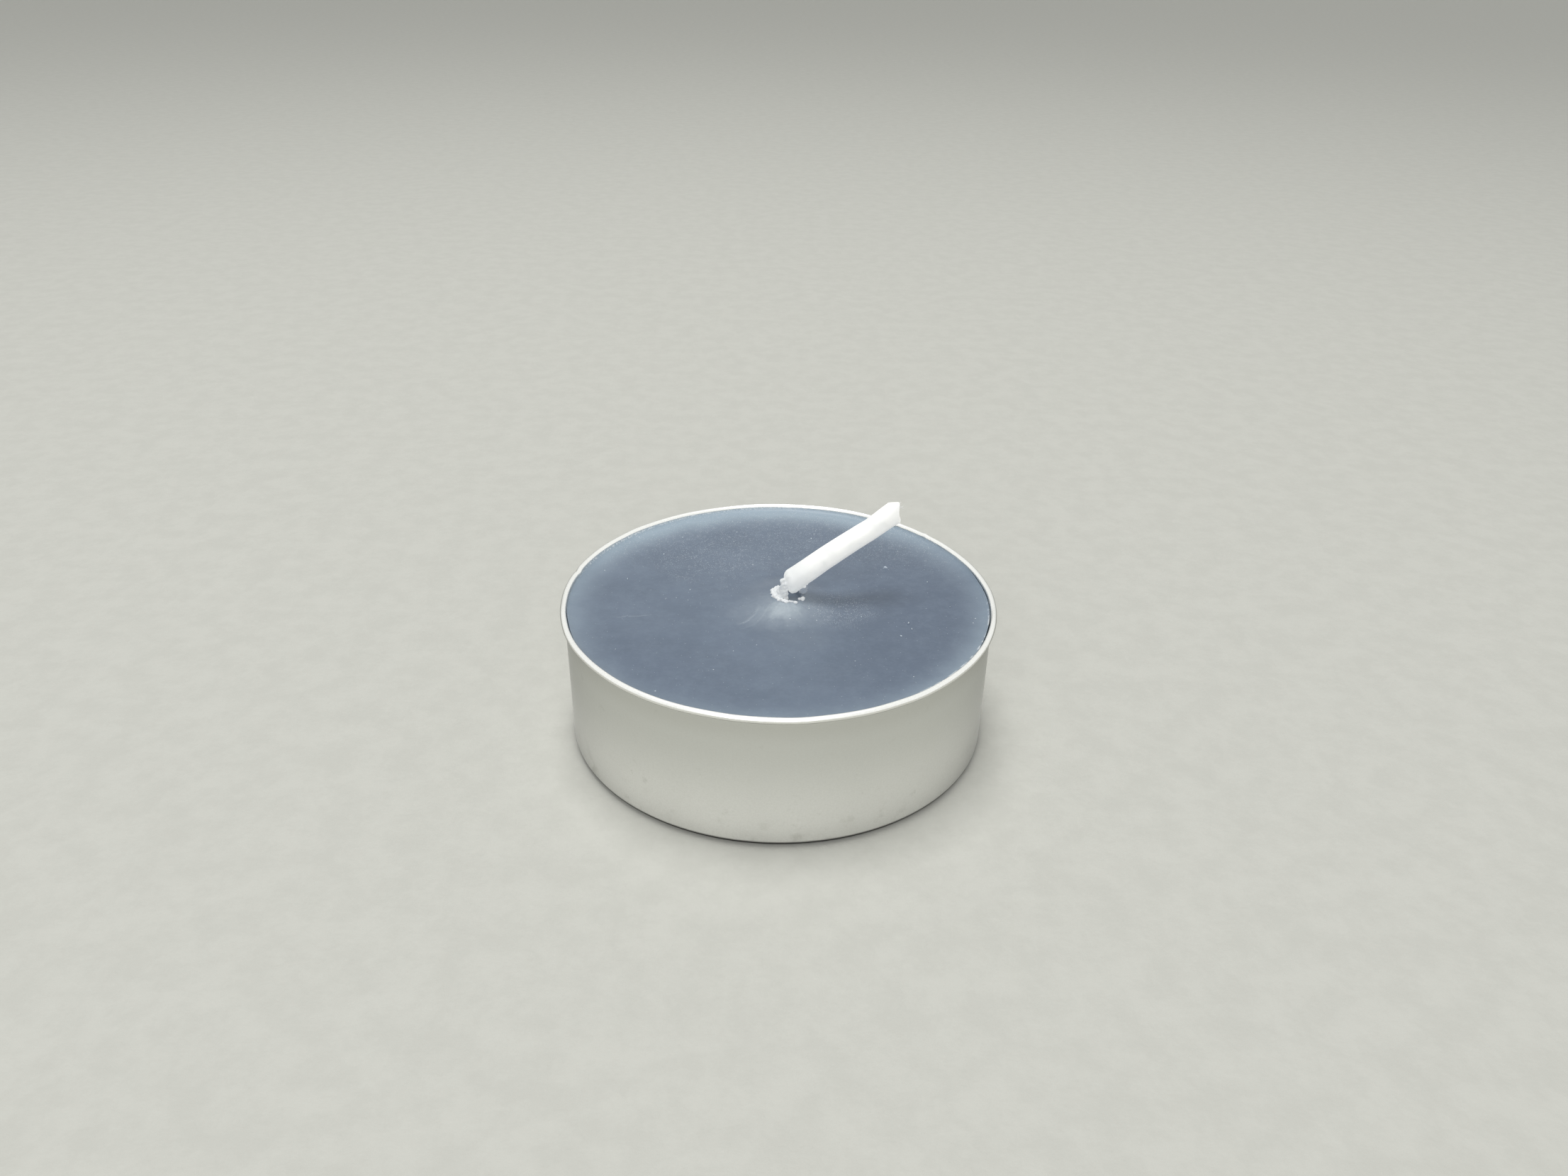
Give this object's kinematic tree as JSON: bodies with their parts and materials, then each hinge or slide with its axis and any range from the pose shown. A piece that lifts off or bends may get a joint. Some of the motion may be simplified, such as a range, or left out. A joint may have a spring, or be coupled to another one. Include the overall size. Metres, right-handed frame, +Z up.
{
  "type": "tea light candle",
  "caption": "Short round candle in a drawn metal cup with a rolled rim, with poured wax and a coated wick that leans to one side.",
  "frame": {"origin": "on the cup's axis, in the plane that the cup stands on", "axes": "+Z up along the cup's axis; +X is about the side that the wick leans to"},
  "size_m": [0.038, 0.038, 0.0205],
  "materials": {
    "cup_metal": "satin, drawn",
    "blue_grey_wax": "smooth, slightly waxy, with a fine bloom",
    "wick_coat": "white wax coat over cotton",
    "clip_steel": "tinned, pressed",
    "crumb_wax": "broken white wax"
  },
  "bodies": {
    "root": {"cup": "cup_metal", "wax": "blue_grey_wax", "wick": "wick_coat", "wick_clip": "clip_steel", "coat_crumbs": "crumb_wax"}
  },
  "joints": []
}
